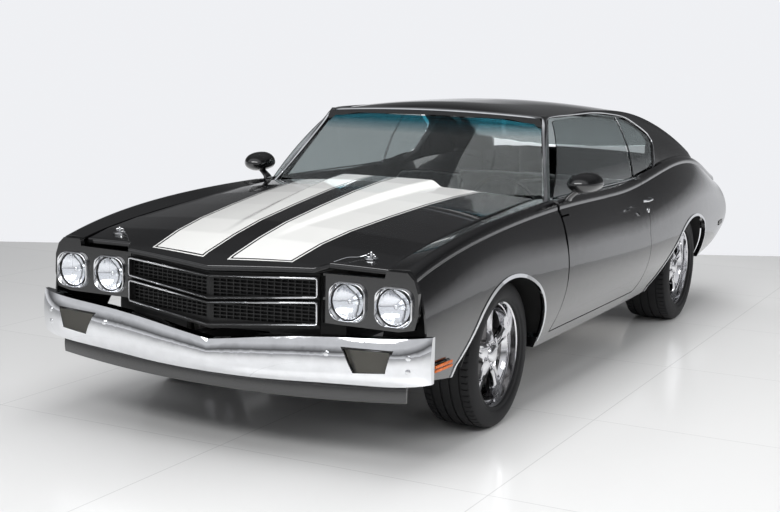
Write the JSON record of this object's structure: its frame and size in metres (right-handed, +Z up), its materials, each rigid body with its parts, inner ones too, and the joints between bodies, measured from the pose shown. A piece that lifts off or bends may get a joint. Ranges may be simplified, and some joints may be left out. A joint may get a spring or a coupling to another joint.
{
  "type": "two-door hardtop muscle car",
  "caption": "Gloss black two-door hardtop coupe with white hood stripes, cowl hood, chrome bumpers and mouldings, polished spoked wheels, opening doors, hood and trunk, and working steering.",
  "frame": {"origin": "on the ground under the middle of the car's bounding box", "axes": "+Z up, the nose points to -Y, +X to the car's left"},
  "size_m": [2.022, 5.0445, 1.3556],
  "materials": {
    "body_paint": "gloss black with white hood stripes",
    "chrome": "bright plated",
    "glass": "lightly tinted",
    "lamp_glass": "clear ribbed glass",
    "lamp_lens": "moulded amber and clear",
    "red_lens": "moulded red",
    "black_trim": "satin black",
    "tyre_rubber": "low profile road tyre",
    "wheel_alloy": "polished",
    "brake_iron": "machined",
    "chassis_black": "semi-gloss chassis black",
    "engine_iron": "painted block",
    "exhaust_steel": "aluminised",
    "interior_vinyl": "black vinyl",
    "dash_plastic": "padded black"
  },
  "bodies": {
    "root": {"fender_left": "body_paint", "fender_right": "body_paint", "hinge_pillars": "chassis_black", "quarter_glass": "glass", "roof_panel": "body_paint", "quarter_panel_left": "body_paint", "quarter_panel_right": "body_paint", "rocker_panels": "body_paint", "cowl_panel": "body_paint", "windshield": "glass", "rear_window": "glass", "rear_deck": "body_paint", "headlamp_panels": "body_paint", "headlamps": "lamp_glass", "grille": "black_trim", "front_bumper": "chrome", "marker_lamps": "lamp_lens", "front_valance": "body_paint", "tail_panel": "black_trim", "rear_bumper": "chrome", "tail_lamps": "red_lens", "arch_mouldings": "chrome", "wheelhouses": "chassis_black", "front_suspension": "chassis_black", "rear_axle": "chassis_black", "frame": "chassis_black", "floor_pan": "chassis_black", "engine_block": "engine_iron", "exhaust": "exhaust_steel", "fuel_tank": "exhaust_steel", "dashboard": "dash_plastic", "front_seats": "interior_vinyl", "rear_seat": "interior_vinyl"},
    "door_left": {"door_left": "body_paint", "door_glass_left": "glass", "door_fittings_left": "body_paint"},
    "door_right": {"door_right": "body_paint", "door_glass_right": "glass", "door_fittings_right": "body_paint"},
    "hood": {"hood": "body_paint"},
    "trunk_lid": {"trunk_lid": "body_paint"},
    "steering_wheel": {"steering_wheel": "chrome"},
    "knuckle_left": {"knuckle_left": "brake_iron"},
    "knuckle_right": {"knuckle_right": "brake_iron"},
    "front_wheel_left": {"tyre_front_left": "tyre_rubber", "wheel_front_left": "wheel_alloy"},
    "front_wheel_right": {"tyre_front_right": "tyre_rubber", "wheel_front_right": "wheel_alloy"},
    "rear_wheel_left": {"tyre_rear_left": "tyre_rubber", "wheel_rear_left": "wheel_alloy"},
    "rear_wheel_right": {"tyre_rear_right": "tyre_rubber", "wheel_rear_right": "wheel_alloy"}
  },
  "joints": [
    {"name": "left_door_hinge", "type": "hinge", "parent": "root", "child": "door_left", "pos_m": [0.835, -0.786, 0.68], "axis": [0, 0, -1], "range_deg": [0, 62]},
    {"name": "right_door_hinge", "type": "hinge", "parent": "root", "child": "door_right", "pos_m": [-0.835, -0.786, 0.68], "axis": [0, 0, 1], "range_deg": [0, 62]},
    {"name": "hood_hinge", "type": "hinge", "parent": "root", "child": "hood", "pos_m": [0, -0.846, 0.886], "axis": [-1, 0, 0], "range_deg": [0, 50]},
    {"name": "trunk_hinge", "type": "hinge", "parent": "root", "child": "trunk_lid", "pos_m": [0, 1.552, 0.952], "axis": [1, 0, 0], "range_deg": [0, 60]},
    {"name": "steering_left", "type": "hinge", "parent": "root", "child": "knuckle_left", "pos_m": [0.706, -1.535, 0.326], "axis": [0, 0, 1], "range_deg": [-28, 28]},
    {"name": "steering_right", "type": "hinge", "parent": "root", "child": "knuckle_right", "pos_m": [-0.706, -1.535, 0.326], "axis": [0, 0, 1], "range_deg": [-28, 28]},
    {"name": "steering_wheel_turn", "type": "hinge", "parent": "root", "child": "steering_wheel", "pos_m": [0.372, -0.33, 0.812], "axis": [0, 0.9063, 0.4226], "range_deg": [-448, 448]},
    {"name": "front_left_spin", "type": "hinge", "parent": "knuckle_left", "child": "front_wheel_left", "pos_m": [0.758, -1.535, 0.326], "axis": [1, 0, 0], "continuous": true},
    {"name": "front_right_spin", "type": "hinge", "parent": "knuckle_right", "child": "front_wheel_right", "pos_m": [-0.758, -1.535, 0.326], "axis": [1, 0, 0], "continuous": true},
    {"name": "rear_left_spin", "type": "hinge", "parent": "root", "child": "rear_wheel_left", "pos_m": [0.75, 1.31, 0.33], "axis": [1, 0, 0], "continuous": true},
    {"name": "rear_right_spin", "type": "hinge", "parent": "root", "child": "rear_wheel_right", "pos_m": [-0.75, 1.31, 0.33], "axis": [1, 0, 0], "continuous": true}
  ],
  "couplings": [
    {"joint": "steering_right", "follows": "steering_left", "ratio": 1},
    {"joint": "steering_wheel_turn", "follows": "steering_left", "ratio": 16}
  ]
}
